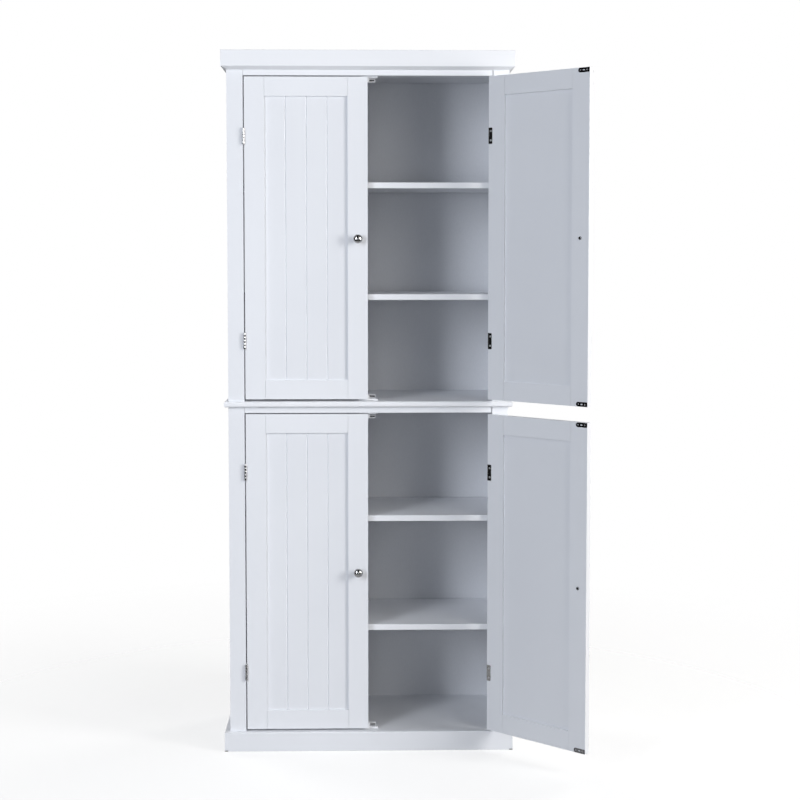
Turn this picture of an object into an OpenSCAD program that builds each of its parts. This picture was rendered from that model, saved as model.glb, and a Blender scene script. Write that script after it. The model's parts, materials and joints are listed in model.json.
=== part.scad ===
// Four-door pantry cabinet: painted boards, a face frame and framed doors on wrap-around hinges.
// Millimetres, +Z up, the doors face -Y. The origin is on the floor, on the centre line, in the
// plane of the face frame's front. The right-hand doors stand open, the left-hand doors are shut.

/* [Cabinet] */
// Width over the crown and the plinth
cabinet_w = 762; // [720:1:840]
// Depth from the crown's front to the back
cabinet_d = 355.6; // [320:0.1:420]
// Height to the top of the crown
cabinet_h = 1839; // [1820:1:1900]
// How far the crown and the plinth stand out from the carcass
overhang = 14; // [12:0.5:18]
// Thickness of the boards, the face frame and the shelves
board_t = 15; // [15:0.5:18]
// Thickness of the back panels
back_t = 3; // [3:0.5:5]

/* [Crown, plinth and middle board] */
// Height of the crown moulding
crown_h = 50; // [48:1:70]
// Height of the crown's upright face, above its bevel
crown_face_h = 41.5; // [36:0.5:48]
// Height of the plinth, up to the cabinet's floor
plinth_h = 50.5; // [40:0.5:80]
// Bevel along the plinth's top edge
plinth_bevel = 1.5; // [1:0.5:4]
// How far the middle board stands out from the carcass
nose_out = 11; // [8:0.5:14]
// Radius of the middle board's rounded edges
nose_r = 5; // [3:0.5:6]

/* [Face frame] */
// Width of the upright stiles
stile_w = 42; // [36:1:50]
// Height of the rails under the top panel and the middle board
rail_h = 15.5; // [12:0.5:20]
// Depth of those rails, which also carry the upper catches
rail_d = 45; // [40:1:60]
// Width of the open seam between the rails and the left-hand stiles
left_seam = 0.5; // [0.2:0.1:3]
// Width of the open seam between the rails and the right-hand stiles
right_seam = 2.2; // [0.2:0.1:3]
// Height of the top rail that shows below the crown
rail_reveal = 14; // [8:0.5:18]

/* [Doors] */
// Thickness of the door frames
door_t = 15; // [15:0.5:18]
// Gap at the hinge side, over the door and between two doors
door_gap = 3.2; // [2.5:0.1:4]
// Gap under each door
foot_gap = 5.5; // [3:0.5:8]
// Width of a door's stiles
door_stile_w = 52; // [45:1:60]
// Height of a door's rails
door_rail_h = 50; // [45:1:60]
// Width of the open seam between a door's rails and stiles
door_seam = 0.4; // [0.2:0.1:1]
// Thickness of the grooved panel
panel_t = 4.5; // [4:0.5:6]
// Depth of the panel below the door frame's front
panel_recess = 5; // [4:0.5:6]
// Number of grooves in the panel
groove_count = 3; // [2:1:5]
// Angle at which the right-hand doors stand open
open_angle = 136; // [0:1:180]

/* [Shelves] */
// Height of each shelf's top above the floor of its compartment
shelf_heights = [280, 572]; // [200:1:660]
// Set-back of the shelves from the face frame's front
shelf_setback = 20; // [20:1:40]
// Step between the spare shelf-pin holes
pin_step = 48; // [32:1:60]

/* [Hardware] */
// Height of a hinge
hinge_h = 42; // [36:1:50]
// Distance from a door's end to the middle of its hinge
hinge_inset = 153; // [100:1:200]
// Width of the hinge leaf wrapped onto the inside
wrap_w = 12.5; // [12:0.5:16]
// Outer radius of a hinge knuckle
knuckle_r = 3; // [2.8:0.1:3.2]
// Radius of the hinge pins
pin_r = 1.2; // [1:0.1:1.4]
// Radius of a knob's head
knob_r = 12; // [10:0.5:15]
// How far a knob stands out
knob_out = 24; // [20:1:30]

/* [Hidden] */
$fn = 48;
TIERS = ["lower", "upper"];
ROOT_NODES = [
    "plinth_front", "plinth_returns", "floor_glides", "bottom_panel", "side_lower_left",
    "side_lower_right", "stile_lower_left", "stile_lower_right", "mid_board", "mid_rail",
    "side_upper_left", "side_upper_right", "stile_upper_left", "stile_upper_right", "top_rail",
    "top_panel", "top_cap", "crown_front", "crown_returns", "back_lower", "back_upper",
    "shelf_lower_bottom", "shelf_lower_top", "shelf_upper_bottom", "shelf_upper_top", "shelf_pins",
    "catch_housings", "catch_magnets", "catch_poles", "frame_hinge_leaves", "hinge_pins",
    "frame_screws"
];
DOOR_PIECES = ["stiles", "rails", "panel", "knob", "hinge_leaves", "strike_plates", "screws"];

// The carcass, inside the overhanging crown and plinth
half_w = cabinet_w / 2;
body_x = half_w - overhang;
back_y = cabinet_d - overhang;
inner_x = body_x - board_t;
opening_x = body_x - stile_w;
back_rebate = 6;
joint_clear = 0.05;

// Levels: the lower and upper compartments are equally high
top_rail_z = cabinet_h - crown_h - rail_reveal;
tier_h = (top_rail_z + rail_h - plinth_h - board_t) / 2;
floor_z = [plinth_h, plinth_h + tier_h + board_t];
ceiling_z = [for (z = floor_z) z + tier_h];
rail_z = [for (z = ceiling_z) z - rail_h];
cap_z = cabinet_h - board_t;

// Doors
door_w = opening_x - 1.5 * door_gap;
door_h = tier_h - rail_h - door_gap - foot_gap;
door_edge_x = opening_x - door_gap;
free_edge_x = door_edge_x - door_w;
door_z = [for (z = floor_z) z + foot_gap];
tongue = 8;
groove_w = 3.4;
groove_depth = 1.9;

// Hinges: the pin stands in front of the gap, its knuckles touch the plane of the face frame
leaf_t = 1;
pivot_x = opening_x - door_gap / 2;
pivot_y = -knuckle_r;
knuckles = 5;
knuckle_gap = 0.3;
hinge_zs = [hinge_inset, door_h - hinge_inset];
hinge_screw_dz = 12;
hinge_screw_in = 7.5;

// Knobs, strike plates and screws
knob_in = 26;
knob_screw_r = 2;
strike_w = 34;
strike_h = 11.5;
strike_t = 1;
strike_in = 0.5;
strike_up = 0.5;
strike_screw_dx = 10;
strike_zs = [strike_up + strike_h / 2, door_h - strike_up - strike_h / 2];
screw_r = 1.3;
screw_head_r = 2.6;
screw_head_h = 1.2;
screw_len = 10;

// Magnetic catches: one serves both doors, and stands behind the gap between them
catch_y = door_t + strike_t + 0.3;
catch_half = 18;
catch_h = 16;
catch_d = 14;
flange_half = 24.5;
flange_t = 4;
flange_screw_x = 21.2;
pole_t = 1.2;
pole_out = 1;
pocket_x = [3, 17];
pocket_z = [5.5, 15.2];
pole_zs = [8.4, 13.8];

// Shelves and their pins
shelf_end_gap = 2.5;
shelf_back_gap = 2.6;
peg_r = 2.5;
peg_in = 10;
peg_out = 9;
peg_ys = [60, 290];
glide_w = 9;
glide_h = 2;

// ---------- shared shapes ----------

// A bar of the given section, drawn as [y, z], running along X
module along_x(length) {
    rotate([90, 0, 90]) linear_extrude(length, center = true) children();
}

// A rectangle with all four corners rounded
module rounded_rect(size, r) {
    translate([-size.x / 2 + r, -size.y / 2]) square([size.x - 2 * r, size.y]);
    translate([-size.x / 2, -size.y / 2 + r]) square([size.x, size.y - 2 * r]);
    for (sx = [-1, 1]) for (sy = [-1, 1])
        translate([sx * (size.x / 2 - r), sy * (size.y / 2 - r)]) circle(r);
}

// Children on the right and, mirrored, on the left
module both_sides() {
    children();
    mirror([1, 0, 0]) children();
}

// A pan-head screw along Z, the head's underside at z = 0 and the shank below it
module pan_screw(length, r = screw_r, head_r = screw_head_r, head_h = screw_head_h) {
    cylinder(r = head_r, h = head_h * 0.5);
    translate([0, 0, head_h * 0.5]) cylinder(r1 = head_r, r2 = head_r * 0.72, h = head_h * 0.5);
    translate([0, 0, -length]) cylinder(r = r, h = length);
}

// The hole that a screw's shank needs, from z = 0 down
module screw_hole(length, r = screw_r) {
    translate([0, 0, -length]) cylinder(r = r + joint_clear, h = length + 1);
}

// Children turned to point along +Y, out of the inside face of a door or stile
module facing_inside() {
    rotate([-90, 0, 0]) children();
}

// ---------- plinth ----------

module plinth_section() {
    polygon([
        [-overhang, 0], [0, 0], [0, plinth_h], [plinth_bevel - overhang, plinth_h],
        [-overhang, plinth_h - plinth_bevel]
    ]);
}

// Mitred front length of a moulding, whose section children() give
module mitred_front() {
    intersection() {
        along_x(cabinet_w) children();
        linear_extrude(cabinet_h)
            polygon([[-half_w, -overhang], [half_w, -overhang], [body_x, 0], [-body_x, 0]]);
    }
}

// Mitred left and right lengths of the same moulding
module mitred_returns() {
    both_sides() intersection() {
        translate([body_x, back_y, 0]) mirror([1, 0, 0]) rotate([90, 0, 0])
            linear_extrude(cabinet_d) children();
        linear_extrude(cabinet_h)
            polygon([[body_x, 0], [half_w, -overhang], [half_w, back_y], [body_x, back_y]]);
    }
}

module glide_blocks() {
    both_sides() for (y = [-overhang, back_y - glide_w])
        translate([half_w - glide_w, y, 0]) cube([glide_w, glide_w, glide_h]);
}

module plinth_front() {
    color("gainsboro") difference() {
        mitred_front() plinth_section();
        glide_blocks();
    }
}

module plinth_returns() {
    color("gainsboro") difference() {
        mitred_returns() plinth_section();
        glide_blocks();
    }
}

// Nylon glides let in flush under the four corners
module floor_glides() {
    color("dimgray") glide_blocks();
}

// ---------- carcass ----------

// A board between the side panels, notched round the stiles; z is its underside
module inner_board(z) {
    translate([-opening_x, 0, z]) cube([2 * opening_x, back_y - back_t, board_t]);
    translate([-inner_x, board_t, z]) cube([2 * inner_x, back_y - back_t - board_t, board_t]);
}

module bottom_panel() {
    color("white") difference() {
        inner_board(floor_z[0] - board_t);
        catch_screw_holes(0, 1);
    }
}

// Right-hand side panel of one tier, from z0 up to z1, with its shelf-pin holes and back rebate
module side_panel(tier, z0, z1) {
    color("white") difference() {
        translate([inner_x, board_t, z0]) cube([board_t, back_y - board_t, z1 - z0]);
        translate([inner_x - 1, back_y - back_t, z0 - 1])
            cube([back_rebate + 1, back_t + 1, z1 - z0 + 2]);
        for (h = shelf_heights) for (step = [-1, 0, 1]) for (y = peg_ys)
            translate([inner_x - 1, y, floor_z[tier] + h - board_t - peg_r + step * pin_step])
                rotate([0, 90, 0]) cylinder(r = peg_r + joint_clear, h = peg_in + 1);
    }
}

module side_lower() side_panel(0, 0, ceiling_z[0]);

module side_upper() side_panel(1, floor_z[1], cap_z);

// Right-hand face-frame stile of one tier, with pilot holes for the hinge screws in its back
module stile(tier, z0, z1) {
    color("whitesmoke") difference() {
        translate([opening_x, 0, z0]) cube([stile_w, board_t, z1 - z0]);
        for (z = hinge_zs) translate([0, 0, door_z[tier] + z]) frame_screw_places() screw_hole(screw_len);
    }
}

module stile_lower() stile(0, 0, ceiling_z[0]);

module stile_upper() stile(1, floor_z[1], cap_z);

// Board between the tiers, which stands out at the front and sides with rounded edges
module mid_board() {
    z = ceiling_z[0];
    reach = body_x + nose_out;
    color("white") difference() {
        intersection() {
            along_x(2 * reach) translate([(back_y - nose_out) / 2 + nose_r / 2, z + board_t / 2])
                rounded_rect([back_y + nose_out + nose_r, board_t], nose_r);
            translate([0, back_y, z + board_t / 2]) rotate([90, 0, 0])
                linear_extrude(back_y + nose_out) rounded_rect([2 * reach, board_t], nose_r);
        }
        catch_screw_holes(1, 1);
    }
}

// Rails under the middle board and the top panel: their fronts show, their undersides hold catches
module rail(tier) {
    color("whitesmoke") difference() {
        union() {
            translate([left_seam - opening_x, 0, rail_z[tier]])
                cube([2 * opening_x - left_seam - right_seam, board_t, rail_h]);
            translate([-inner_x, board_t, rail_z[tier]]) cube([2 * inner_x, rail_d - board_t, rail_h]);
        }
        catch_screw_holes(tier, -1);
    }
}

module mid_rail() rail(0);

module top_rail() rail(1);

module top_panel() {
    color("white") inner_board(ceiling_z[1]);
}

module top_cap() {
    color("white") translate([-body_x, 0, cap_z]) cube([2 * body_x, back_y, board_t]);
}

// ---------- crown ----------

module crown_section() {
    polygon([
        [0, cabinet_h - crown_h], [0, cabinet_h], [-overhang, cabinet_h],
        [-overhang, cabinet_h - crown_face_h]
    ]);
}

module crown_front() {
    color("white") mitred_front() crown_section();
}

module crown_returns() {
    color("white") mitred_returns() crown_section();
}

// ---------- back panels and shelves ----------

module back_panel(z0, z1) {
    reach = inner_x + back_rebate;
    color("whitesmoke") translate([-reach, back_y - back_t, z0]) cube([2 * reach, back_t, z1 - z0]);
}

module back_lower() back_panel(floor_z[0] - board_t, ceiling_z[0]);

module back_upper() back_panel(floor_z[1], cap_z);

module shelf(tier, level) {
    x = inner_x - shelf_end_gap;
    depth = back_y - back_t - shelf_back_gap - shelf_setback;
    color("white") translate([-x, shelf_setback, floor_z[tier] + shelf_heights[level] - board_t])
        cube([2 * x, depth, board_t]);
}

// Steel pins with a collar, four under each shelf
module shelf_pins() {
    color("silver") both_sides() for (tier = [0, 1]) for (h = shelf_heights) for (y = peg_ys)
        translate([inner_x - peg_out, y, floor_z[tier] + h - board_t - peg_r]) rotate([0, 90, 0]) {
            cylinder(r = peg_r, h = peg_out + peg_in - 0.5);
            translate([0, 0, peg_out - 1.5]) cylinder(r = peg_r + 1, h = 1.5);
        }
}

// ---------- magnetic catches ----------

// Children at a catch's place: dir 1 stands on a tier's floor, dir -1 hangs under its rail
module catch_place(tier, dir) {
    translate([0, catch_y, dir > 0 ? floor_z[tier] : rail_z[tier]])
        mirror([0, 0, dir > 0 ? 0 : 1]) children();
}

module each_catch() {
    for (tier = [0, 1]) for (dir = [-1, 1]) catch_place(tier, dir) children();
}

module catch_screw_holes(tier, dir) {
    catch_place(tier, dir) both_sides()
        translate([flange_screw_x, pole_out + catch_d / 2, 0]) screw_hole(screw_len - flange_t);
}

// White plastic housing with a screwed flange and one magnet pocket for each door
module catch_housings() {
    color("white") each_catch() difference() {
        union() {
            translate([-catch_half, pole_out, 0]) cube([2 * catch_half, catch_d, catch_h]);
            translate([-flange_half, pole_out + 1, 0]) cube([2 * flange_half, catch_d - 2, flange_t]);
        }
        both_sides() translate([pocket_x[0], pole_out - 1, pocket_z[0]])
            cube([pocket_x[1] - pocket_x[0], catch_d - 1, pocket_z[1] - pocket_z[0]]);
        both_sides() translate([flange_screw_x, pole_out + catch_d / 2, flange_t])
            screw_hole(flange_t + 1);
    }
}

module catch_magnets() {
    color("dimgray") each_catch() both_sides()
        translate([pocket_x[0], pole_out + 0.5, pole_zs[0] + pole_t])
            cube([pocket_x[1] - pocket_x[0], catch_d - 2.5, pole_zs[1] - pole_zs[0] - pole_t]);
}

// Steel pole strips above and below each magnet, which the strike plates meet
module catch_poles() {
    color("silver") each_catch() both_sides() for (z = pole_zs) translate([pocket_x[0], 0, z])
        cube([pocket_x[1] - pocket_x[0], pole_out + catch_d - 2, pole_t]);
}

// ---------- hinges ----------

// One leaf: it lies on the wood's edge at x = 0, wraps onto the inside at y = door_t, and
// carries the knuckles numbered in owned, counted from below
module hinge_leaf(owned) {
    pitch = hinge_h / knuckles;
    clear_y = pivot_y + knuckle_r + knuckle_gap;
    difference() {
        union() {
            translate([0, clear_y, -hinge_h / 2]) cube([leaf_t, door_t + leaf_t - clear_y, hinge_h]);
            translate([-wrap_w / 2, door_t + leaf_t, 0]) rotate([90, 0, 0]) linear_extrude(leaf_t)
                rounded_rect([wrap_w, hinge_h], 2.5);
            translate([-wrap_w / 2, door_t, -hinge_h / 2]) cube([wrap_w / 2 + leaf_t, leaf_t, hinge_h]);
            for (k = owned) translate([0, pivot_y, -hinge_h / 2 + k * pitch + knuckle_gap / 2]) {
                translate([door_gap / 2, 0, 0]) cylinder(r = knuckle_r, h = pitch - knuckle_gap);
                cube([leaf_t, clear_y - pivot_y, pitch - knuckle_gap]);
            }
        }
        translate([door_gap / 2, pivot_y, -hinge_h]) cylinder(r = pin_r + joint_clear, h = 2 * hinge_h);
        leaf_screw_places() screw_hole(leaf_t + 1);
    }
}

// Where a leaf's two screws bear on it
module leaf_screw_places() {
    for (dz = [-hinge_screw_dz, hinge_screw_dz])
        translate([-hinge_screw_in, door_t + leaf_t, dz]) facing_inside() children();
}

// The same places on the right-hand stile, for a hinge at z = 0
module frame_screw_places() {
    translate([opening_x, 0, 0]) mirror([1, 0, 0]) leaf_screw_places() children();
}

module each_frame_hinge() {
    both_sides() for (tier = [0, 1]) for (z = hinge_zs)
        translate([opening_x, 0, door_z[tier] + z]) children();
}

module frame_hinge_leaves() {
    color("silver") each_frame_hinge() mirror([1, 0, 0]) hinge_leaf([0, 2, 4]);
}

// Pins with a small button head at each end
module hinge_pins() {
    color("silver") each_frame_hinge() translate([-door_gap / 2, pivot_y, -hinge_h / 2 - 1]) {
        cylinder(r = pin_r, h = hinge_h + 2);
        for (z = [0, hinge_h + 1]) translate([0, 0, z]) cylinder(r = pin_r + 0.9, h = 1);
    }
}

// Screws that stay with the carcass: in the frame's hinge leaves and in the catch flanges
module frame_screws() {
    color("silver") {
        each_frame_hinge() mirror([1, 0, 0]) leaf_screw_places() pan_screw(screw_len);
        each_catch() both_sides() translate([flange_screw_x, pole_out + catch_d / 2, flange_t])
            pan_screw(screw_len);
    }
}

// ---------- doors ----------
// Each piece is drawn on a shut right-hand door whose bottom edge is at z = 0.

// Puts a door piece in its tier; side 1 is the right-hand door, which stands open
module in_place(tier, side) {
    translate([0, 0, door_z[tier]]) {
        if (side > 0)
            translate([pivot_x, pivot_y, 0]) rotate(open_angle) translate([-pivot_x, -pivot_y, 0])
                children();
        else
            mirror([1, 0, 0]) children();
    }
}

// The slot in the frame's inner edges that holds the panel and the rails' tongues
module panel_slot(length) {
    translate([-tongue, panel_recess, -1]) cube([2 * tongue, panel_t, length + 2]);
}

module door_stiles() {
    color("white") difference() {
        for (x = [free_edge_x, door_edge_x - door_stile_w])
            translate([x, 0, 0]) cube([door_stile_w, door_t, door_h]);
        translate([free_edge_x + door_stile_w, 0, 0]) panel_slot(door_h);
        translate([door_edge_x - door_stile_w, 0, 0]) panel_slot(door_h);
        knob_place() cylinder(r = knob_screw_r + joint_clear, h = 4 * door_t, center = true);
        door_leaf_places() leaf_screw_places() screw_hole(screw_len);
        strike_screw_places() screw_hole(screw_len);
    }
}

// Rails between the stiles, tongued at the ends and slotted for the panel
module door_rails() {
    length = door_w - 2 * door_stile_w;
    color("white") for (z = [0, door_h - door_rail_h]) translate([free_edge_x + door_stile_w, 0, z])
        difference() {
            union() {
                translate([door_seam, 0, 0]) cube([length - 2 * door_seam, door_t, door_rail_h]);
                translate([-tongue, panel_recess, 0]) cube([length + 2 * tongue, panel_t, door_rail_h]);
            }
            translate([-tongue - 1, panel_recess, z > 0 ? -1 : door_rail_h - tongue])
                cube([length + 2 * tongue + 2, panel_t, tongue + 1]);
        }
}

// Beadboard panel with V-grooves on its outer face
module door_panel() {
    seen_w = door_w - 2 * door_stile_w;
    seen_x = free_edge_x + door_stile_w;
    z0 = door_rail_h - tongue;
    height = door_h - 2 * z0;
    color("whitesmoke") difference() {
        translate([seen_x - tongue, panel_recess, z0]) cube([seen_w + 2 * tongue, panel_t, height]);
        for (k = [1:groove_count])
            translate([seen_x + seen_w * k / (groove_count + 1), panel_recess, z0 - 1])
                linear_extrude(height + 2)
                    polygon([[-groove_w / 2, 0], [0, groove_depth], [groove_w / 2, 0], [0, -1]]);
    }
}

// The knob's axis, pointing out of the door's front
module knob_place() {
    translate([free_edge_x + knob_in, 0, door_h / 2]) rotate([90, 0, 0]) children();
}

// Turned mushroom knob with a foot, a waist and a domed head
module door_knob() {
    foot_r = knob_r * 0.58;
    waist_r = knob_r * 0.4;
    rim_z = knob_out * 0.6;
    dome = [for (a = [0:10:90]) [knob_r * cos(a), rim_z + (knob_out - rim_z) * sin(a)]];
    under = [for (a = [10:20:90]) [
        waist_r + (knob_r - waist_r) * sin(a), rim_z - knob_out * 0.2 * cos(a)
    ]];
    color("silver") knob_place() difference() {
        rotate_extrude() polygon(concat(
            [[0, 0], [foot_r, 0], [foot_r, 1.5], [waist_r + 0.6, 2.8], [waist_r, 4]], under, dome));
        translate([0, 0, -1]) cylinder(r = knob_screw_r + joint_clear, h = knob_out * 0.5);
    }
}

// The door's edge at each hinge
module door_leaf_places() {
    for (z = hinge_zs) translate([door_edge_x, 0, z]) children();
}

module door_hinge_leaves() {
    color("silver") door_leaf_places() hinge_leaf([1, 3]);
}

// Steel plates that the magnets hold, at the top and bottom of the free edge
module strike_places() {
    for (z = strike_zs)
        translate([free_edge_x + strike_in + strike_w / 2, door_t, z]) facing_inside() children();
}

module strike_screw_places() {
    strike_places() for (dx = [-strike_screw_dx, strike_screw_dx]) translate([dx, 0, 0]) children();
}

module door_strike_plates() {
    color("gray") strike_places() linear_extrude(strike_t) difference() {
        rounded_rect([strike_w, strike_h], 2);
        difference() {
            translate([strike_w / 2 - strike_h / 2, -strike_h]) square([strike_h, 2 * strike_h]);
            translate([strike_w / 2 - strike_h / 2, 0]) circle(strike_h / 2);
        }
        for (dx = [-strike_screw_dx, strike_screw_dx]) translate([dx, 0]) circle(1.9 + joint_clear);
        rounded_rect([7, 3], 1.4);
    }
}

// Screws of one door: hinge leaves, flush strike-plate screws and the knob's machine screw
module door_screws() {
    color("silver") {
        door_leaf_places() leaf_screw_places() pan_screw(screw_len);
        strike_screw_places() {
            cylinder(r = 1.9, h = strike_t);
            translate([0, 0, -screw_len + 1]) cylinder(r = screw_r, h = screw_len - 1);
        }
        knob_place() mirror([0, 0, 1]) translate([0, 0, door_t])
            pan_screw(door_t + knob_out * 0.4, knob_screw_r, 4.5, 2.4);
    }
}

// ---------- the assembly ----------

plinth_front();
plinth_returns();
floor_glides();
bottom_panel();
mirror([1, 0, 0]) side_lower();  // side_lower_left
side_lower();  // side_lower_right
mirror([1, 0, 0]) stile_lower();  // stile_lower_left
stile_lower();  // stile_lower_right
mid_board();
mid_rail();
mirror([1, 0, 0]) side_upper();  // side_upper_left
side_upper();  // side_upper_right
mirror([1, 0, 0]) stile_upper();  // stile_upper_left
stile_upper();  // stile_upper_right
top_rail();
top_panel();
top_cap();
crown_front();
crown_returns();
back_lower();
back_upper();
shelf(0, 0);  // shelf_lower_bottom
shelf(0, 1);  // shelf_lower_top
shelf(1, 0);  // shelf_upper_bottom
shelf(1, 1);  // shelf_upper_top
shelf_pins();
catch_housings();
catch_magnets();
catch_poles();
frame_hinge_leaves();
hinge_pins();
frame_screws();
for (tier = [0, 1]) for (side = [-1, 1]) {
    door = str(TIERS[tier], side < 0 ? "_left_door_" : "_right_door_");
    in_place(tier, side) door_stiles();
    in_place(tier, side) door_rails();
    in_place(tier, side) door_panel();
    in_place(tier, side) door_knob();
    in_place(tier, side) door_hinge_leaves();
    in_place(tier, side) door_strike_plates();
    in_place(tier, side) door_screws();
}
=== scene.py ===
import json
import math

import bmesh
import bpy
from mathutils import Matrix, Vector


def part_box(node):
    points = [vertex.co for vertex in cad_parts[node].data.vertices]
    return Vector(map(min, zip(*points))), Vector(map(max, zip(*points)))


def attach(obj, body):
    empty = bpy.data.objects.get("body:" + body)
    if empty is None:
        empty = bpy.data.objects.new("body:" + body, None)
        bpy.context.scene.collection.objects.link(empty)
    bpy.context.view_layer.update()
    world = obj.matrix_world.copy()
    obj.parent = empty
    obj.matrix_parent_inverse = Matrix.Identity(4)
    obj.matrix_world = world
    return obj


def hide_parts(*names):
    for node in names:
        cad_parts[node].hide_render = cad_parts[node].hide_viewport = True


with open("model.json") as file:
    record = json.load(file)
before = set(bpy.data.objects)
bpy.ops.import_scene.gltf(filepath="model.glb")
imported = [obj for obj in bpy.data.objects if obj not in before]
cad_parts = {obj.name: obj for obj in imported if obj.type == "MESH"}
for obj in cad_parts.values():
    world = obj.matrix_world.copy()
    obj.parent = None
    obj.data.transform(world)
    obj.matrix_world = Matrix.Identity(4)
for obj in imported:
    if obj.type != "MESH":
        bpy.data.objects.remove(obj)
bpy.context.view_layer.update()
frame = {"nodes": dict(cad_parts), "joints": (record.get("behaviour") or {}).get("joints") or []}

# ---- Plinth ----
# Three lengths of sprayed fibreboard round the cabinet's foot: a front and two returns, mitred
# at the front corners, glued and pinned to the carcass. Their top edge is slightly bevelled.


def new_finish(name):
    """An empty finish: the material, its nodes, its links and its shader."""
    finish = bpy.data.materials.new(name)
    finish.use_nodes = True
    nodes = finish.node_tree.nodes
    return finish, nodes, finish.node_tree.links, nodes["Principled BSDF"]


def grain(nodes, links, per_metre, detail=2.0, roughness=0.5, stretch=(1, 1, 1)):
    """Noise that is fixed to the piece, with so many cells to a metre."""
    place = nodes.new("ShaderNodeTexCoord")
    mapping = nodes.new("ShaderNodeMapping")
    mapping.inputs["Scale"].default_value = stretch
    noise = nodes.new("ShaderNodeTexNoise")
    noise.inputs["Scale"].default_value = per_metre
    noise.inputs["Detail"].default_value = detail
    noise.inputs["Roughness"].default_value = roughness
    links.new(place.outputs["Object"], mapping.inputs["Vector"])
    links.new(mapping.outputs["Vector"], noise.inputs["Vector"])
    return noise.outputs["Fac"]


def spread(nodes, links, value, low, high, start=0.3, end=0.7):
    """A value from start to end, stretched to run from low to high."""
    ramp = nodes.new("ShaderNodeMapRange")
    ramp.inputs["From Min"].default_value = start
    ramp.inputs["From Max"].default_value = end
    ramp.inputs["To Min"].default_value = low
    ramp.inputs["To Max"].default_value = high
    links.new(value, ramp.inputs["Value"])
    return ramp.outputs["Result"]


def two_tones(nodes, links, value, dark, light, start=0.32, end=0.68):
    """A colour that drifts from dark to light with the noise."""
    ramp = nodes.new("ShaderNodeValToRGB")
    ramp.color_ramp.elements[0].position = start
    ramp.color_ramp.elements[0].color = (*dark, 1)
    ramp.color_ramp.elements[1].position = end
    ramp.color_ramp.elements[1].color = (*light, 1)
    links.new(value, ramp.inputs["Fac"])
    return ramp.outputs["Color"]


def relief(nodes, links, value, depth, strength, under=None):
    """Bumps of the given depth in metres, laid over the relief under."""
    bump = nodes.new("ShaderNodeBump")
    bump.inputs["Distance"].default_value = depth
    bump.inputs["Strength"].default_value = strength
    links.new(value, bump.inputs["Height"])
    if under is not None:
        links.new(under, bump.inputs["Normal"])
    return bump.outputs["Normal"]


def sprayed_paint(name, dark, light, roughness):
    """Sprayed satin paint: a faint drift of tone, uneven gloss, slow waves and fine orange peel."""
    finish, nodes, links, shader = new_finish(name)
    drift = grain(nodes, links, per_metre=3.5, detail=3)
    links.new(two_tones(nodes, links, drift, dark, light), shader.inputs["Base Color"])
    patches = grain(nodes, links, per_metre=45, detail=4, roughness=0.6)
    uneven = spread(nodes, links, patches, low=roughness - 0.05, high=roughness + 0.07)
    links.new(uneven, shader.inputs["Roughness"])
    slow = grain(nodes, links, per_metre=14, detail=1)
    waves = relief(nodes, links, slow, depth=0.0012, strength=0.12)
    fine = grain(nodes, links, per_metre=620, detail=1)
    peel = relief(nodes, links, fine, depth=0.00012, strength=0.35, under=waves)
    links.new(peel, shader.inputs["Normal"])
    shader.inputs["Specular IOR Level"].default_value = 0.45
    shader.inputs["Coat Weight"].default_value = 0.06
    shader.inputs["Coat Roughness"].default_value = 0.3
    return finish


def coat(name, finish):
    """Puts a finish on a board of the frame."""
    board = frame["nodes"][name]
    if not board.material_slots:
        board.data.materials.append(finish)
    for place in board.material_slots:
        place.material = finish


def ease_edges(name, radius, sharper_than=28):
    """Takes the sharpness off a board's edges, as sanding and paint do."""
    board = frame["nodes"][name]
    skin = board.modifiers.new("one_skin", "WELD")
    skin.merge_threshold = 0.00001
    edge = board.modifiers.new("eased_edges", "BEVEL")
    edge.width = radius
    edge.segments = 2
    edge.limit_method = "ANGLE"
    edge.angle_limit = math.radians(sharper_than)
    faces = board.modifiers.new("flat_faces", "WEIGHTED_NORMAL")
    faces.keep_sharp = True


moulding_edge = 0.0008
outer_paint = sprayed_paint("outer_paint", (0.800, 0.815, 0.850), (0.815, 0.830, 0.863), 0.40)
for board in ("plinth_front", "plinth_returns"):
    coat(board, outer_paint)
    ease_edges(board, moulding_edge)

# ---- Floor glides ----
# Small pads of black nylon, let in flush under the four corners of the plinth. They keep the
# painted edge off the floor when the cabinet is pushed along.


def moulded_plastic(name, dark, light, roughness, per_metre=900):
    """Moulded plastic with a fine spark-eroded texture."""
    finish, nodes, links, shader = new_finish(name)
    drift = grain(nodes, links, per_metre=130)
    links.new(two_tones(nodes, links, drift, dark, light), shader.inputs["Base Color"])
    texture = grain(nodes, links, per_metre, detail=3)
    uneven = spread(nodes, links, texture, low=roughness - 0.06, high=roughness + 0.08)
    links.new(uneven, shader.inputs["Roughness"])
    links.new(relief(nodes, links, texture, depth=0.00008, strength=0.4), shader.inputs["Normal"])
    return finish


glide_edge = 0.0004
black_nylon = moulded_plastic("black_nylon", (0.012, 0.012, 0.013), (0.022, 0.022, 0.024), 0.5)
coat("floor_glides", black_nylon)
ease_edges("floor_glides", glide_edge)

# ---- Carcass boards ----
# Sides, floor, middle board, rails, top panel and top cap: 15 mm boards, white all round, held
# with cam locks and dowels. The middle board has a rounded nose at front and sides. It takes a
# lighter copy of the white paint, which is painted light, as the crown and the shelves do; the
# floor and top panel take a darker copy, which is painted shade inside the cupboards.

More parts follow.
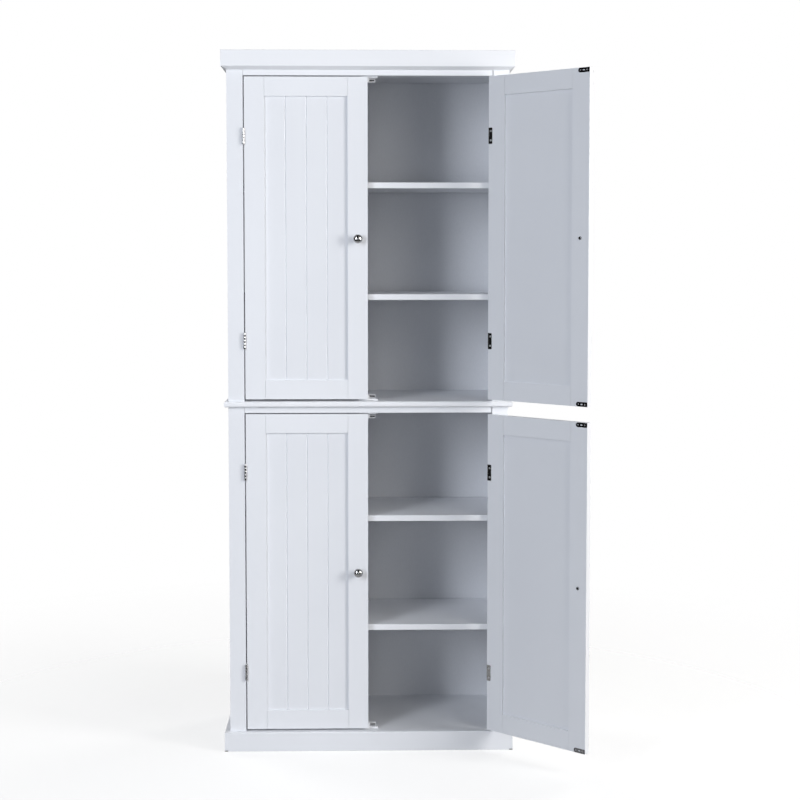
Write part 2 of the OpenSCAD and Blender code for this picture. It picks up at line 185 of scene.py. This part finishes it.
outer_edge = 0.0005
inner_edge = 0.0004
# Painted shade: a darker, greyer copy of the white paint for the floor and top panel, standing in for the
# shade inside the cupboards.
painted_shade_inner_paint = sprayed_paint("painted_shade_inner_paint", (0.745, 0.757, 0.785), (0.765, 0.777, 0.803), 0.46)
for board in ("bottom_panel", "top_panel"):
    coat(board, painted_shade_inner_paint)
    ease_edges(board, inner_edge)
for board in ("side_lower_left", "side_lower_right", "side_upper_left", "side_upper_right", "top_cap"):
    coat(board, outer_paint)
    ease_edges(board, outer_edge)
for board in ("mid_rail", "top_rail"):
    coat(board, outer_paint)
    ease_edges(board, inner_edge)
# Painted light: a lighter copy of the white paint for the middle board, the crown and the shelves,
# standing in for light that falls on them.
painted_light_paint = sprayed_paint("painted_light_paint", (0.845, 0.858, 0.888), (0.860, 0.872, 0.900), 0.42)
coat("mid_board", painted_light_paint)
ease_edges("mid_board", inner_edge)

# ---- Face frame ----
# Four upright stiles of sprayed fibreboard, two for each tier, glued to the front edges of the
# sides. The rails butt against them, which leaves a fine open seam at each joint.

for board in ("stile_lower_left", "stile_lower_right", "stile_upper_left", "stile_upper_right"):
    coat(board, outer_paint)
    ease_edges(board, outer_edge)

# ---- Crown ----
# A front moulding and two returns with a bevelled underside, mitred at the front corners and
# glued round the top of the carcass.

# The crown takes the lighter copy of the paint: painted light.
for board in ("crown_front", "crown_returns"):
    coat(board, painted_light_paint)
    ease_edges(board, moulding_edge)

# ---- Back panels ----
# Two sheets of 3 mm hardboard in a rebate, smooth white on the inside. Flat-headed brads hold
# them to the back edges of the boards.


def hardboard(name, dark, light):
    """White-faced hardboard: matt, with a trace of pressed fibres."""
    finish, nodes, links, shader = new_finish(name)
    fibres = grain(nodes, links, per_metre=380, detail=5, roughness=0.65, stretch=(1, 1, 0.35))
    links.new(two_tones(nodes, links, fibres, dark, light), shader.inputs["Base Color"])
    links.new(spread(nodes, links, fibres, low=0.52, high=0.64), shader.inputs["Roughness"])
    slow = grain(nodes, links, per_metre=5, detail=1)
    sag = relief(nodes, links, slow, depth=0.002, strength=0.12)
    pressed = relief(nodes, links, fibres, depth=0.00008, strength=0.35, under=sag)
    links.new(pressed, shader.inputs["Normal"])
    return finish


def ring(shape, radius, height, steps):
    """Corners once round Z, or a single one where the radius is nothing."""
    if radius < 1e-9:
        return [shape.verts.new((0, 0, height))]
    turns = [math.tau * k / steps for k in range(steps)]
    return [shape.verts.new((radius * math.cos(a), radius * math.sin(a), height)) for a in turns]


def join_rings(shape, low, high):
    """Faces all round between two rings, either of which may be a single corner."""
    count = max(len(low), len(high))
    for k in range(count):
        n = (k + 1) % count
        corners = [low[k % len(low)], low[n % len(low)], high[n % len(high)], high[k % len(high)]]
        shape.faces.new(list(dict.fromkeys(corners)))


def lathe(profile, steps):
    """A turned solid round Z from (radius, height) pairs that start and end on the axis."""
    shape = bmesh.new()
    rings = [ring(shape, radius, height, steps) for radius, height in profile]
    for low, high in zip(rings, rings[1:]):
        join_rings(shape, low, high)
    return shape


def make_piece(name, shapes, finish, body, stands_for=(), crease=32):
    """One piece from (shape, places) pairs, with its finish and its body."""
    whole = bmesh.new()
    for shape, places in shapes:
        pattern = bpy.data.meshes.new("pattern")
        shape.to_mesh(pattern)
        for place in places:
            first = len(whole.verts)
            whole.from_mesh(pattern)
            whole.verts.ensure_lookup_table()
            bmesh.ops.transform(whole, matrix=place, verts=whole.verts[first:])
        bpy.data.meshes.remove(pattern)
    bmesh.ops.recalc_face_normals(whole, faces=whole.faces)
    for edge in whole.edges:
        edge.smooth = len(edge.link_faces) == 2 and edge.calc_face_angle() < math.radians(crease)
    for face in whole.faces:
        face.smooth = True
    mesh = bpy.data.meshes.new(name)
    whole.to_mesh(mesh)
    whole.free()
    mesh.materials.append(finish)
    piece = bpy.data.objects.new(name, mesh)
    bpy.context.scene.collection.objects.link(piece)
    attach(piece, body)
    if stands_for:
        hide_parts(*stands_for)


def plated_steel(name, dark, light, roughness, scratches=0.3):
    """Plated metal with faint polishing marks."""
    finish, nodes, links, shader = new_finish(name)
    marks = grain(nodes, links, per_metre=900, detail=4, roughness=0.7, stretch=(1, 1, 0.12))
    drift = grain(nodes, links, per_metre=160)
    links.new(two_tones(nodes, links, drift, dark, light), shader.inputs["Base Color"])
    uneven = spread(nodes, links, marks, low=roughness - 0.04, high=roughness + 0.08)
    links.new(uneven, shader.inputs["Roughness"])
    links.new(relief(nodes, links, marks, depth=0.00002, strength=scratches), shader.inputs["Normal"])
    shader.inputs["Metallic"].default_value = 1.0
    return finish


sheet_edge = 0.0003
white_hardboard = hardboard("white_hardboard", (0.700, 0.712, 0.742), (0.730, 0.742, 0.770))
for board in ("back_lower", "back_upper"):
    coat(board, white_hardboard)
    ease_edges(board, sheet_edge)
zinc_plate = plated_steel("zinc_plate", (0.60, 0.60, 0.61), (0.72, 0.72, 0.73), 0.36)
brad_shank = 0.0008
brad_radius = 0.0018
brad_head = lathe([(0, -0.0012), (brad_shank, -0.0012), (brad_shank, -0.0004), (brad_radius, -0.0001),
                   (brad_radius, 0.0), (0.0016, 0.0001), (0, 0.0001)], steps=16)
brads_to_a_side = 8
brad_in = 0.003
brad_up = 0.0075
brad_places = []
for board in ("back_lower", "back_upper"):
    low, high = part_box(board)
    for k in range(brads_to_a_side):
        part_way = k / (brads_to_a_side - 1)
        z = low.z + brad_up + part_way * (high.z - low.z - 2 * brad_up)
        brad_places += [(low.x + brad_in, high.y, z), (high.x - brad_in, high.y, z)]
        if 0 < part_way < 1:
            x = low.x + brad_in + part_way * (high.x - low.x - 2 * brad_in)
            brad_places += [(x, high.y, low.z + brad_up), (x, high.y, high.z - brad_up)]
facing_back = Matrix.Rotation(math.radians(-90), 4, "X")
make_piece("back_brads", [(brad_head, [Matrix.Translation(p) @ facing_back for p in brad_places])],
           zinc_plate, "carcass")

# ---- Shelves ----
# Four loose boards, two in each cupboard, of 15 mm white board with a painted front edge. They
# lie on pins and can be moved to the other holes.

shelf_edge = 0.0006
tiers = ("lower", "upper")
# The shelves take the lighter copy of the paint: painted light.
for tier in tiers:
    for level in ("bottom", "top"):
        coat(f"shelf_{tier}_{level}", painted_light_paint)
        ease_edges(f"shelf_{tier}_{level}", shelf_edge)

# ---- Shelf pins ----
# Turned steel pegs with a collar, four to a shelf, pushed into 5 mm holes in the sides. The
# spare holes above and below stay open.

peg_edge = 0.0003
coat("shelf_pins", zinc_plate)
ease_edges("shelf_pins", peg_edge)

# ---- Magnetic catches ----
# Double catches behind the gap between each pair of doors: a moulded white housing with screwed
# ears, two ceramic magnets, and steel pole strips whose front edges meet the doors' plates.

housing_edge = 0.0006
pole_edge = 0.0002
white_plastic = moulded_plastic("white_plastic", (0.80, 0.81, 0.83), (0.84, 0.85, 0.87), 0.36)
coat("catch_housings", white_plastic)
ease_edges("catch_housings", housing_edge)
ceramic_magnet = moulded_plastic("ceramic_magnet", (0.030, 0.030, 0.032), (0.050, 0.050, 0.053), 0.6,
                                 per_metre=1500)
coat("catch_magnets", ceramic_magnet)
bright_steel = plated_steel("bright_steel", (0.80, 0.80, 0.81), (0.88, 0.88, 0.89), 0.6)
coat("catch_poles", bright_steel)
ease_edges("catch_poles", pole_edge)

# ---- Door frames and panels ----
# Each door is two stiles and two rails, tongued together, round a thin panel in a groove. The
# panel's outer face is milled with three V-grooves that run from rail to rail.

doors = [(tier, side, f"{tier}_{side}_door") for tier in tiers for side in ("left", "right")]
door_paint = sprayed_paint("door_paint", (0.803, 0.818, 0.853), (0.817, 0.832, 0.866), 0.38)
# Painted shade: the panels take a darker copy of the door paint, standing in for the shade in the panel's
# recess.
painted_shade_panel_paint = sprayed_paint("painted_shade_panel_paint", (0.773, 0.788, 0.825), (0.793, 0.808, 0.843), 0.44)
for tier, side, door in doors:
    coat(f"{door}_stiles", door_paint)
    coat(f"{door}_rails", door_paint)
    coat(f"{door}_panel", painted_shade_panel_paint)
    ease_edges(f"{door}_stiles", outer_edge)
    ease_edges(f"{door}_rails", inner_edge)
    ease_edges(f"{door}_panel", inner_edge)

# ---- Hinge leaves ----
# Bright nickel-plated steel, 1 mm thick, folded onto the edge and the inside of door and stile.
# The leaf on the door rolls into two knuckles and the one on the stile into three.

right_hinge = {joint["name"]: joint for joint in frame["joints"]}["lower_right_hinge"]
pin_at = Vector(right_hinge["pos_m"])
open_angle = -math.radians(right_hinge["range_deg"][0])
door_low = {tier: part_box(f"{tier}_left_door_stiles")[0].z for tier in tiers}
door_high = {tier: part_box(f"{tier}_left_door_stiles")[1].z for tier in tiers}
door_edge = -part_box("lower_left_door_stiles")[0].x
door_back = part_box("lower_left_door_stiles")[1].y
opening_half = -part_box("stile_lower_left")[1].x
mirrored = Matrix.Scale(-1, 4, (1, 0, 0))
hinge_inset = 0.153
hinge_half = 0.021
leaf = 0.001
leaf_corner = 0.0025
wrap = 0.0125
fold = 0.0011
knuckle_pitch = 2 * hinge_half / 5
knuckle_space = 0.0003
knuckle_tall = knuckle_pitch - knuckle_space
knuckle_radius = 0.003
knuckle_bore = 0.00125
knuckle_soft = 0.0007


def door_place(tier, side):
    """Takes a piece drawn on a shut right-hand door, its foot at z = 0, to its own door."""
    lift = Matrix.Translation((0, 0, door_low[tier]))
    if side == "left":
        return lift @ mirrored
    pin = Matrix.Translation((pin_at.x, pin_at.y, 0))
    return lift @ pin @ Matrix.Rotation(open_angle, 4, "Z") @ pin.inverted()


def hinge_heights(tier):
    """Heights of a door's two hinges above its foot."""
    return (hinge_inset, door_high[tier] - door_low[tier] - hinge_inset)


def arc(centre, radii, angles):
    """Points on a part of an ellipse, at these angles in degrees."""
    turns = [math.radians(a) for a in angles]
    return [(centre[0] + radii[0] * math.cos(a), centre[1] + radii[1] * math.sin(a)) for a in turns]


def folded_leaf():
    """Sheet folded from the inside face round the corner and along the edge to the knuckles."""
    face_y = door_back + leaf / 2
    path = [(-wrap + wrap * t * t, face_y) for t in (0, 0.08, 0.16, 0.24, 0.32, 0.44, 0.7)]
    path += arc((leaf / 2 - fold, face_y - fold), (fold, fold), range(90, -1, -15))
    path.append((leaf / 2, knuckle_space))
    shape = bmesh.new()
    rows = []
    for k, (x, y) in enumerate(path):
        before = path[max(k - 1, 0)]
        after = path[min(k + 1, len(path) - 1)]
        along = Vector((after[0] - before[0], after[1] - before[1])).normalized()
        out = Vector((-along.y, along.x)) * leaf / 2
        inset = max(0.0, leaf_corner - (x + wrap))
        half = hinge_half - leaf_corner + math.sqrt(max(leaf_corner ** 2 - inset ** 2, 0.0))
        rows.append([shape.verts.new((x + s * out.x, y + s * out.y, z)) for s, z in
                     ((1, -half), (1, half), (-1, half), (-1, -half))])
    for low, high in zip(rows, rows[1:]):
        join_rings(shape, low, high)
    shape.faces.new(rows[0])
    shape.faces.new(rows[-1])
    return shape


def knuckle():
    """One rolled knuckle, with eased ends and a bore for the pin, from z = 0 up."""
    section = [(knuckle_bore, 0), (knuckle_radius - knuckle_soft, 0)]
    soft = (knuckle_soft, knuckle_soft)
    section += arc((knuckle_radius - knuckle_soft, knuckle_soft), soft, (-60, -30, 0))
    section += [(r, knuckle_tall - z) for r, z in reversed(section)]
    shape = bmesh.new()
    rings = [ring(shape, r, z, steps=28) for r, z in section]
    for low, high in zip(rings, rings[1:] + rings[:1]):
        join_rings(shape, low, high)
    return shape


def knuckle_strap():
    """The short length of sheet between the folded leaf and a knuckle."""
    section = ((0, 0.0006), (0, -0.0012), (0.0006, -0.0014), (leaf, -0.0012), (leaf, 0.0006))
    shape = bmesh.new()
    low, high = [[shape.verts.new((x, y, z)) for x, y in section] for z in (0, knuckle_tall)]
    join_rings(shape, low, high)
    shape.faces.new(low)
    shape.faces.new(high)
    return shape


def knuckle_places(edge_x, places, numbers):
    """Where the knuckles with these numbers go, and the straps that carry them."""
    rolls = []
    straps = []
    for place in places:
        for number in numbers:
            z = -hinge_half + number * knuckle_pitch + knuckle_space / 2
            rolls.append(place @ Matrix.Translation((pin_at.x - edge_x, pin_at.y, z)))
            straps.append(place @ Matrix.Translation((0, 0, z)))
    return rolls, straps


polished_nickel = plated_steel("polished_nickel", (0.44, 0.435, 0.43), (0.54, 0.535, 0.525), 0.07,
                               scratches=0.08)
leaf_shape = folded_leaf()
knuckle_shape = knuckle()
strap_shape = knuckle_strap()
door_leaves = {}
for tier, side, door in doors:
    on_edge = [Matrix.Translation((door_edge, 0, z)) for z in hinge_heights(tier)]
    door_leaves[door] = [door_place(tier, side) @ place for place in on_edge]
    rolls, straps = knuckle_places(door_edge, door_leaves[door], (1, 3))
    make_piece(f"{door}_leaves",
               [(leaf_shape, door_leaves[door]), (knuckle_shape, rolls), (strap_shape, straps)],
               polished_nickel, door, [f"{door}_hinge_leaves"])
frame_hinges = [Matrix.Translation((0, 0, door_low[tier] + z)) for tier in tiers
                for z in hinge_heights(tier)]
frame_hinges += [mirrored @ place for place in frame_hinges]
stile_leaves = [place @ Matrix.Translation((opening_half, 0, 0)) @ mirrored for place in frame_hinges]
rolls, straps = knuckle_places(2 * pin_at.x - opening_half, stile_leaves, (0, 2, 4))
make_piece("stile_leaves", [(leaf_shape, stile_leaves), (knuckle_shape, rolls), (strap_shape, straps)],
           polished_nickel, "carcass", ["frame_hinge_leaves"])

# ---- Hinge pins ----
# A steel pin runs through the five knuckles of each hinge and ends in a small round button at
# top and bottom.

pin_radius = 0.0012
button_radius = 0.0021
button_tall = 0.0009
button_out = 0.001
button = arc((0, button_tall - button_out - hinge_half), (button_radius, button_tall),
             (-90, -65, -40, -15, 0))
pin_profile = button + [(pin_radius, -hinge_half), (pin_radius, hinge_half)]
pin_profile += [(r, -z) for r, z in reversed(button)]
pins = [place @ Matrix.Translation((pin_at.x, pin_at.y, 0)) for place in frame_hinges]
make_piece("hinge_pins_turned", [(lathe(pin_profile, steps=24), pins)],
           polished_nickel, "carcass", ["hinge_pins"])

# ---- Strike plates ----
# Thin dark-plated steel with a central slot, square at the door's free edge and rounded at the
# other end, screwed to the inside of each door at its top and bottom, where the magnets pull.

plate_edge = 0.0002
dark_plate = plated_steel("dark_plate", (0.25, 0.25, 0.26), (0.32, 0.32, 0.33), 0.10, scratches=0.1)
for tier, side, door in doors:
    coat(f"{door}_strike_plates", dark_plate)
    ease_edges(f"{door}_strike_plates", plate_edge)

# ---- Screws ----
# Zinc-plated steel with a cross recess: pan heads in the hinge leaves and the catches, and flush
# heads in the strike plates. The larger pan-headed screw behind each knob is dark-plated.


def cross_screw(head_radius, head_height, shank_radius, length, flush=False):
    """A screw along Z, with the head's underside at z = 0 and a tapered cross recess."""
    rim = ((1, 0), (1, 0.3), (0.97, 0.55), (0.88, 0.8), (0.76, 0.95), (0.64, 1.0))
    if flush:
        rim = ((1, 0), (1, 1))
    section = [(0, -length - shank_radius * 0.3), (shank_radius * 0.3, -length),
               (shank_radius, -length + shank_radius), (shank_radius, 0)]
    section += [(head_radius * r, head_height * z) for r, z in rim]
    shape = bmesh.new()
    rings = [ring(shape, r, z, steps=32) for r, z in section]
    for low, high in zip(rings, rings[1:]):
        join_rings(shape, low, high)
    reach = head_radius * 0.52
    half = head_radius * 0.13
    arm = [(reach, -half), (reach, half), (half, half), (half, reach), (-half, reach), (-half, half),
           (-reach, half), (-reach, -half), (-half, -half), (-half, -reach), (half, -reach), (half, -half)]
    mouth = [shape.verts.new((x, y, head_height)) for x, y in arm]
    bottom = [shape.verts.new((x * 0.55, y * 0.55, head_height - head_radius * 0.42)) for x, y in arm]
    join_rings(shape, mouth, bottom)
    shape.faces.new(bottom)
    outlines = [shape.edges.get((outline[k - 1], outline[k]))
                for outline in (rings[-1], mouth) for k in range(len(outline))]
    bmesh.ops.triangle_fill(shape, edges=outlines, use_beauty=True)
    return shape


leaf_screw = cross_screw(head_radius=0.0026, head_height=0.0012, shank_radius=0.0013, length=0.0098)
knob_screw = cross_screw(head_radius=0.0045, head_height=0.0024, shank_radius=0.002, length=0.0240)
plate_screw = cross_screw(head_radius=0.0019, head_height=0.0010, shank_radius=0.0013, length=0.0088,
                          flush=True)
leaf_screw_in = 0.0075
leaf_screw_rise = 0.012
free_edge = -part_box("lower_left_door_stiles")[1].x
knob_in = 0.026
plate_low, plate_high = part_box("lower_left_door_strike_plates")
plate_x = -(plate_low.x + plate_high.x) / 2
plate_height = 0.0115
plate_rise = plate_low.z - door_low["lower"] + plate_height / 2
plate_screw_out = 0.010


def leaf_screws(place):
    """Places of the two screws in a hinge leaf."""
    return [place @ Matrix.Translation((-leaf_screw_in, door_back + leaf, dz)) @ facing_back
            for dz in (-leaf_screw_rise, leaf_screw_rise)]


for tier, side, door in doors:
    tall = door_high[tier] - door_low[tier]
    in_leaves = [screw for place in door_leaves[door] for screw in leaf_screws(place)]
    plate_spots = [(plate_x + dx, door_back, z) for dx in (-plate_screw_out, plate_screw_out)
                   for z in (plate_rise, tall - plate_rise)]
    in_plates = [door_place(tier, side) @ Matrix.Translation(spot) @ facing_back for spot in plate_spots]
    knob_spot = (free_edge + knob_in, door_back, tall / 2)
    behind_knob = door_place(tier, side) @ Matrix.Translation(knob_spot) @ facing_back
    make_piece(f"{door}_cross_screws", [(leaf_screw, in_leaves), (plate_screw, in_plates)],
               zinc_plate, door, [f"{door}_screws"])
    make_piece(f"{door}_knob_screw", [(knob_screw, [behind_knob])], dark_plate, door)
catch_low, catch_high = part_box("catch_housings")
ear_y = (catch_low.y + catch_high.y) / 2
ear_x = 0.0212
ear_thick = 0.004
upside_down = Matrix.Rotation(math.pi, 4, "X")
ear_screws = []
for under_board, over_board in (("bottom_panel", "mid_rail"), ("mid_board", "top_rail")):
    standing_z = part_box(under_board)[1].z + ear_thick
    hanging_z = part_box(over_board)[0].z - ear_thick
    for x in (-ear_x, ear_x):
        ear_screws.append(Matrix.Translation((x, ear_y, standing_z)))
        ear_screws.append(Matrix.Translation((x, ear_y, hanging_z)) @ upside_down)
stile_screws = [screw for place in stile_leaves for screw in leaf_screws(place)]
make_piece("carcass_cross_screws", [(leaf_screw, stile_screws + ear_screws)],
           zinc_plate, "carcass", ["frame_screws"])

# ---- Knobs ----
# Turned mushroom knobs in polished nickel, one at mid-height near each door's free edge. A foot
# flange stands on the paint, a slim waist carries the domed head, and a screw holds it from behind.

knob_low, knob_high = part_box("lower_left_door_knob")
knob_out = -knob_low.y
head_r = (knob_high.x - knob_low.x) / 2
waist_r = head_r * 0.4
foot_r = head_r * 0.58
rim_z = knob_out * 0.6
head_under = knob_out * 0.2
flare_out = 0.0008
flare_low = 0.0020
flare_tall = 0.0024
turned = [(0, 0), (foot_r - 0.0004, 0), (foot_r, 0.0005), (foot_r, 0.0012), (foot_r - 0.0006, 0.0017)]
for a in (0, 25, 50, 75):
    rise = math.sin(math.radians(a))
    turned.append((waist_r + flare_out * (1 - rise), flare_low + flare_tall * rise))
turned += arc((waist_r, rim_z), (head_r - waist_r, head_under), range(-86, -2, 7))
turned += arc((0, rim_z), (head_r, knob_out - rim_z), range(0, 90, 6))
turned.append((0, knob_out))
knob_shape = lathe(turned, steps=64)
facing_out = Matrix.Rotation(math.radians(90), 4, "X")
for tier, side, door in doors:
    half_way = (door_high[tier] - door_low[tier]) / 2
    place = door_place(tier, side) @ Matrix.Translation((free_edge + knob_in, 0, half_way)) @ facing_out
    make_piece(f"{door}_turned_knob", [(knob_shape, [place])],
               polished_nickel, door, [f"{door}_knob"], crease=50)

# ---- Floor of the room ----
# A wide sheet of pale, half-clear studio paper, with a soft tone that drifts a little. It fades
# out round the cabinet, and isn't part of it.

paper = bmesh.new()
bmesh.ops.create_grid(paper, x_segments=8, y_segments=8, size=30)
paper_mesh = bpy.data.meshes.new("studio_floor")
paper.to_mesh(paper_mesh)
paper.free()
studio_floor = bpy.data.objects.new("studio_floor", paper_mesh)
studio_floor.location.z = -0.0002
bpy.context.scene.collection.objects.link(studio_floor)
pale_paper, nodes, links, paper_shader = new_finish("pale_paper")
paper_drift = grain(nodes, links, per_metre=0.8)
paper_tone = two_tones(nodes, links, paper_drift, (0.93, 0.93, 0.935), (0.95, 0.95, 0.955))
links.new(paper_tone, paper_shader.inputs["Base Color"])
paper_shader.inputs["Roughness"].default_value = 0.9
paper_shader.inputs["Specular IOR Level"].default_value = 0.1
paper_shader.inputs["Emission Color"].default_value = (1, 1, 1, 1)
paper_shader.inputs["Emission Strength"].default_value = 0.13
from_middle = nodes.new("ShaderNodeTexCoord")
distance = nodes.new("ShaderNodeVectorMath")
distance.operation = "LENGTH"
links.new(from_middle.outputs["Object"], distance.inputs[0])
clearness = spread(nodes, links, distance.outputs["Value"], low=0.60, high=1.0, start=0.8, end=2.3)
clear_paper = nodes.new("ShaderNodeBsdfTransparent")
fade_out = nodes.new("ShaderNodeMixShader")
links.new(clearness, fade_out.inputs["Fac"])
links.new(paper_shader.outputs["BSDF"], fade_out.inputs[1])
links.new(clear_paper.outputs["BSDF"], fade_out.inputs[2])
links.new(fade_out.outputs["Shader"], nodes["Material Output"].inputs["Surface"])
paper_mesh.materials.append(pale_paper)

# ---- Light ----
# Soft boxes: tall ones at the left, the right front and the right, a wide one in front, two high
# up and two behind. The backdrop is plain white to the camera and sheds almost no light.


def soft_box(name, place, aim, size, power, tint):
    """A rectangular soft box at place, turned to shine on aim."""
    lamp = bpy.data.lights.new(name, "AREA")
    lamp.shape = "RECTANGLE"
    lamp.size, lamp.size_y = size
    lamp.energy = power
    lamp.color = tint
    box = bpy.data.objects.new(name, lamp)
    box.location = place
    box.rotation_euler = (Vector(aim) - Vector(place)).to_track_quat("-Z", "Y").to_euler()
    bpy.context.scene.collection.objects.link(box)


cool_white = (0.88, 0.925, 1.0)
warm_white = (1.0, 0.985, 0.965)
front_aim = (0.0, 0.0, 0.95)
rear_aim = (0.0, 0.0, 0.9)
tall_size = (0.9, 2.0)
high_size = (1.6, 1.6)
rear_size = (1.4, 2.0)
soft_box("left_soft_box", (-2.3, -3.0, 1.7), front_aim, tall_size, 72, cool_white)
soft_box("right_front_soft_box", (2.2, -3.2, 1.8), front_aim, tall_size, 20, warm_white)
soft_box("right_soft_box", (3.4, -1.8, 1.8), front_aim, (1.2, 2.2), 125, warm_white)
soft_box("front_soft_box", (0.0, -5.0, 1.2), front_aim, (2.0, 1.2), 16, cool_white)
soft_box("high_left_soft_box", (-1.8, -2.6, 3.3), front_aim, high_size, 14, cool_white)
soft_box("high_right_soft_box", (1.8, -2.6, 3.3), front_aim, high_size, 10, warm_white)
soft_box("rear_left_soft_box", (-2.8, 2.4, 2.2), rear_aim, rear_size, 60, warm_white)
soft_box("rear_right_soft_box", (2.6, 2.8, 2.2), rear_aim, rear_size, 60, warm_white)
world = bpy.data.worlds.new("studio")
bpy.context.scene.world = world
world.use_nodes = True
nodes = world.node_tree.nodes
links = world.node_tree.links
backdrop_glow = nodes["Background"]
backdrop_glow.inputs["Color"].default_value = (0.97, 0.98, 1.0, 1)
direction = nodes.new("ShaderNodeTexCoord")
towards = nodes.new("ShaderNodeSeparateXYZ")
links.new(direction.outputs["Generated"], towards.inputs["Vector"])
glow = spread(nodes, links, towards.outputs["Y"], low=0.0, high=0.06, start=-0.35, end=0.45)
links.new(glow, backdrop_glow.inputs["Strength"])
plain_white = nodes.new("ShaderNodeBackground")
plain_white.inputs["Color"].default_value = (1, 1, 1, 1)
plain_white.inputs["Strength"].default_value = 1.0
ray = nodes.new("ShaderNodeLightPath")
choice = nodes.new("ShaderNodeMixShader")
links.new(ray.outputs["Is Camera Ray"], choice.inputs["Fac"])
links.new(backdrop_glow.outputs["Background"], choice.inputs[1])
links.new(plain_white.outputs["Background"], choice.inputs[2])
links.new(choice.outputs["Shader"], nodes["World Output"].inputs["Surface"])
bpy.context.scene.view_settings.view_transform = "Standard"

# ---- Camera ----
# It stands a little over four metres in front at chest height, turned slightly down and to the
# right. A small shift lets it tilt less, so that the cabinet's uprights stay nearly parallel.

tilt_down = 0.0617
turn_right = 0.0231
lens = bpy.data.cameras.new("camera")
camera = bpy.data.objects.new("camera", lens)
bpy.context.scene.collection.objects.link(camera)
camera.location = (-0.0149, -4.2159, 1.3150)
camera.rotation_euler = (math.pi / 2 - tilt_down, 0.0, -turn_right)
lens.sensor_width = 36.0
lens.lens = 72.59
lens.shift_y = -0.05875
lens.clip_start = 0.05
lens.clip_end = 100.0
bpy.context.scene.camera = camera
